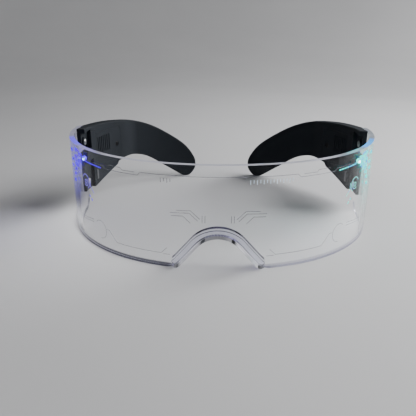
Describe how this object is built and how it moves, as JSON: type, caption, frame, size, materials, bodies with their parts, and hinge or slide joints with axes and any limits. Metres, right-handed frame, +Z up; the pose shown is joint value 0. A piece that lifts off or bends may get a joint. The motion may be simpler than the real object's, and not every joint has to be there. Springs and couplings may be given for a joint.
{
  "type": "light up party glasses",
  "caption": "Clear wraparound visor glasses with wide black spring temples that hold coin cells, press buttons and lights at the lens ends.",
  "frame": {"origin": "middle of the outline as seen from above, on the surface that the glasses stand on", "axes": "+Z up, -Y out of the lens front, +X towards the wearer's left temple"},
  "size_m": [0.164, 0.1493, 0.049],
  "materials": {
    "clear_lens": "polished clear",
    "clear_pad": "soft clear",
    "black_shell": "fine moulded satin",
    "button_grey": "smooth",
    "screw_steel": "dark plated",
    "cell_steel": "plated",
    "tinned_wire": "tinned",
    "board_laminate": "lacquered",
    "chip_black": "moulded",
    "led_left": "clear, lit",
    "led_right": "clear, lit"
  },
  "bodies": {
    "glasses": {"visor_lens": "clear_lens", "nose_pad": "clear_pad", "temple_shell_left": "black_shell", "lens_screw_upper_left": "screw_steel", "lens_screw_lower_left": "screw_steel", "led_left": "led_left", "led_lead_upper_left": "tinned_wire", "led_lead_lower_left": "tinned_wire", "circuit_board_left": "board_laminate", "board_screw_left": "screw_steel", "mode_chip_left": "chip_black", "tact_switch_left": "chip_black", "board_lid_left": "black_shell", "coin_cell_left": "cell_steel", "contact_plate_left": "cell_steel", "contact_spring_left": "cell_steel", "cell_lead_minus_left": "tinned_wire", "cell_lead_plus_left": "tinned_wire", "temple_shell_right": "black_shell", "lens_screw_upper_right": "screw_steel", "lens_screw_lower_right": "screw_steel", "led_right": "led_right", "led_lead_upper_right": "tinned_wire", "led_lead_lower_right": "tinned_wire", "circuit_board_right": "board_laminate", "board_screw_right": "screw_steel", "mode_chip_right": "chip_black", "tact_switch_right": "chip_black", "board_lid_right": "black_shell", "coin_cell_right": "cell_steel", "contact_plate_right": "cell_steel", "contact_spring_right": "cell_steel", "cell_lead_minus_right": "tinned_wire", "cell_lead_plus_right": "tinned_wire"},
    "mode_button_left": {"mode_button_left": "button_grey"},
    "battery_cover_left": {"battery_cover_left": "black_shell", "cover_screw_left": "screw_steel"},
    "mode_button_right": {"mode_button_right": "button_grey"},
    "battery_cover_right": {"battery_cover_right": "black_shell", "cover_screw_right": "screw_steel"}
  },
  "joints": [
    {"name": "mode_button_left_press", "type": "slide", "parent": "glasses", "child": "mode_button_left", "axis": [0.9907, 0.1363, 0], "range_m": [0, 0.0005], "stiffness_N_per_m": 600, "springref_m": -0.0008},
    {"name": "battery_cover_left_lift", "type": "slide", "parent": "glasses", "child": "battery_cover_left", "axis": [-0.9267, -0.3759, 0], "range_m": [0, 0.012]},
    {"name": "mode_button_right_press", "type": "slide", "parent": "glasses", "child": "mode_button_right", "axis": [-0.9907, 0.1363, 0], "range_m": [0, 0.0005], "stiffness_N_per_m": 600, "springref_m": -0.0008},
    {"name": "battery_cover_right_lift", "type": "slide", "parent": "glasses", "child": "battery_cover_right", "axis": [0.9267, -0.3759, 0], "range_m": [0, 0.012]}
  ]
}
